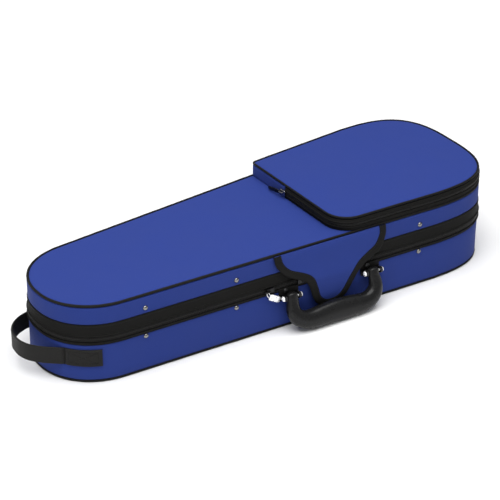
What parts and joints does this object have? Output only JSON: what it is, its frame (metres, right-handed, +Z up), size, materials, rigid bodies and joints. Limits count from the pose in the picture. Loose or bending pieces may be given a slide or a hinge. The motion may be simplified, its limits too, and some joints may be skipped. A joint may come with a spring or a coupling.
{
  "type": "violin case",
  "caption": "Dart-shaped zipped violin case in blue fabric over board, with a hinged lid, zipped top pocket, front flap, swinging handle and end strap loop.",
  "frame": {"origin": "on the flat underside, at the middle of the shell's length and width", "axes": "+X along the case towards the wide end, -Y towards the handle side, +Z up from the underside to the pocket"},
  "size_m": [0.6259, 0.2232, 0.1201],
  "materials": {
    "blue_fabric": "royal blue woven nylon over a stiff board",
    "black_fabric": "black zip tape, binding and piping",
    "zip_coil": "black nylon zip coil",
    "hook_and_loop": "black hook-and-loop tape",
    "strap": "smooth black strap with stitched ends",
    "board": "thin laminated board",
    "plush": "dark blue plush over foam",
    "grip_plastic": "satin black moulded grip",
    "black_plastic": "black moulded plastic",
    "zip_black": "black enamelled zip slider",
    "chrome": "bright plated steel",
    "nickel": "nickel-plated domed rivet"
  },
  "bodies": {
    "base": {"base_bottom": "blue_fabric", "base_shell": "board", "base_side_cover": "blue_fabric", "base_lining": "plush", "base_piping": "black_fabric", "base_zip_tape": "black_fabric", "base_zip_coil": "zip_coil", "base_gusset": "black_fabric", "base_lip": "black_plastic", "base_rivet_1": "nickel", "base_rivet_2": "nickel", "base_rivet_3": "nickel", "handle_patch_left": "black_fabric", "handle_patch_right": "black_fabric", "handle_bracket_left": "chrome", "handle_bracket_right": "chrome", "patch_rivet_left": "nickel", "patch_rivet_right": "nickel", "loop_patch": "hook_and_loop", "end_loop": "strap", "body_cushion": "plush", "neck_cradle": "plush", "neck_strap": "black_fabric", "accessory_box": "plush"},
    "lid": {"lid_top_cover": "blue_fabric", "lid_shell": "board", "lid_side_cover": "blue_fabric", "lid_lining": "plush", "lid_piping": "black_fabric", "lid_zip_tape": "black_fabric", "lid_zip_coil": "zip_coil", "lid_gusset": "black_fabric", "lid_lip": "black_plastic", "lid_rivet_1": "nickel", "lid_rivet_2": "nickel", "lid_rivet_3": "nickel", "pocket_wall": "blue_fabric", "pocket_zip_low": "black_fabric", "pocket_cover_rear": "blue_fabric", "pocket_piping_rear": "black_fabric", "bow_tip_holder": "plush"},
    "pocket_flap": {"pocket_cover_front": "blue_fabric", "pocket_zip_high": "black_fabric", "pocket_piping_front": "black_fabric"},
    "pocket_slider": {"pocket_slider": "zip_black"},
    "pocket_pull": {"pocket_pull": "zip_black"},
    "flap": {"front_flap": "blue_fabric"},
    "tongue": {"flap_tongue": "blue_fabric", "hook_patch": "hook_and_loop"},
    "handle": {"handle_grip": "grip_plastic", "handle_pin_left": "chrome", "handle_pin_right": "chrome"},
    "slider_left": {"zip_slider_left": "zip_black"},
    "pull_left": {"zip_pull_left": "chrome"},
    "slider_right": {"zip_slider_right": "zip_black"},
    "pull_right": {"zip_pull_right": "chrome"},
    "spinner_front": {"bow_spinner_front": "black_plastic"},
    "spinner_rear": {"bow_spinner_rear": "black_plastic"},
    "accessory_lid": {"accessory_lid": "plush"}
  },
  "joints": [
    {"name": "lid_hinge", "type": "hinge", "parent": "base", "child": "lid", "pos_m": [0.0435, 0.09225, 0.0575], "axis": [-0.9979, -0.0645, 0], "range_deg": [0, 100]},
    {"name": "handle_swing", "type": "hinge", "parent": "base", "child": "handle", "pos_m": [0.04296, -0.10064, 0.0448], "axis": [-0.9979, 0.0645, 0], "range_deg": [-3, 88]},
    {"name": "flap_lift", "type": "hinge", "parent": "lid", "child": "flap", "pos_m": [0.04356, -0.09126, 0.0992], "axis": [-0.9979, 0.0645, 0], "range_deg": [0, 65]},
    {"name": "tongue_fold", "type": "hinge", "parent": "flap", "child": "tongue", "pos_m": [0.04307, -0.09884, 0.0541], "axis": [-0.9979, 0.0645, 0], "range_deg": [-143, 0]},
    {"name": "zip_left", "type": "slide", "parent": "base", "child": "slider_left", "axis": [-0.9979, 0.0645, 0], "range_m": [0, 0.17]},
    {"name": "pull_left_swing", "type": "hinge", "parent": "slider_left", "child": "pull_left", "pos_m": [-0.04403, -0.0898, 0.05505], "axis": [-0.0645, -0.9979, 0], "range_deg": [-48, 10]},
    {"name": "zip_right", "type": "slide", "parent": "base", "child": "slider_right", "axis": [0.9979, -0.0645, 0], "range_m": [0, 0.165]},
    {"name": "pull_right_swing", "type": "hinge", "parent": "slider_right", "child": "pull_right", "pos_m": [0.00737, -0.09312, 0.0575], "axis": [-0.0645, -0.9979, 0], "range_deg": [-90, 10]},
    {"name": "pocket_fold", "type": "hinge", "parent": "lid", "child": "pocket_flap", "pos_m": [0.18, 0.018, 0.1203], "axis": [-1, 0, 0], "range_deg": [0, 100]},
    {"name": "pocket_zip", "type": "slide", "parent": "lid", "child": "pocket_slider", "axis": [0, -1, 0], "range_m": [0, 0.07]},
    {"name": "pocket_pull_swing", "type": "hinge", "parent": "pocket_slider", "child": "pocket_pull", "pos_m": [0.0528, 0.023, 0.1101], "axis": [-1, 0, 0], "range_deg": [-150, 0]},
    {"name": "spinner_front_turn", "type": "hinge", "parent": "lid", "child": "spinner_front", "pos_m": [0.225, -0.048, 0.0928], "axis": [0, 0, 1], "range_deg": [-90, 90]},
    {"name": "spinner_rear_turn", "type": "hinge", "parent": "lid", "child": "spinner_rear", "pos_m": [0.225, 0.048, 0.0928], "axis": [0, 0, 1], "range_deg": [-90, 90]},
    {"name": "accessory_lid_hinge", "type": "hinge", "parent": "base", "child": "accessory_lid", "pos_m": [-0.247, 0, 0.046], "axis": [0, -1, 0], "range_deg": [0, 92]}
  ],
  "couplings": [
    {"joint": "tongue_fold", "follows": "flap_lift", "ratio": -2.2}
  ]
}
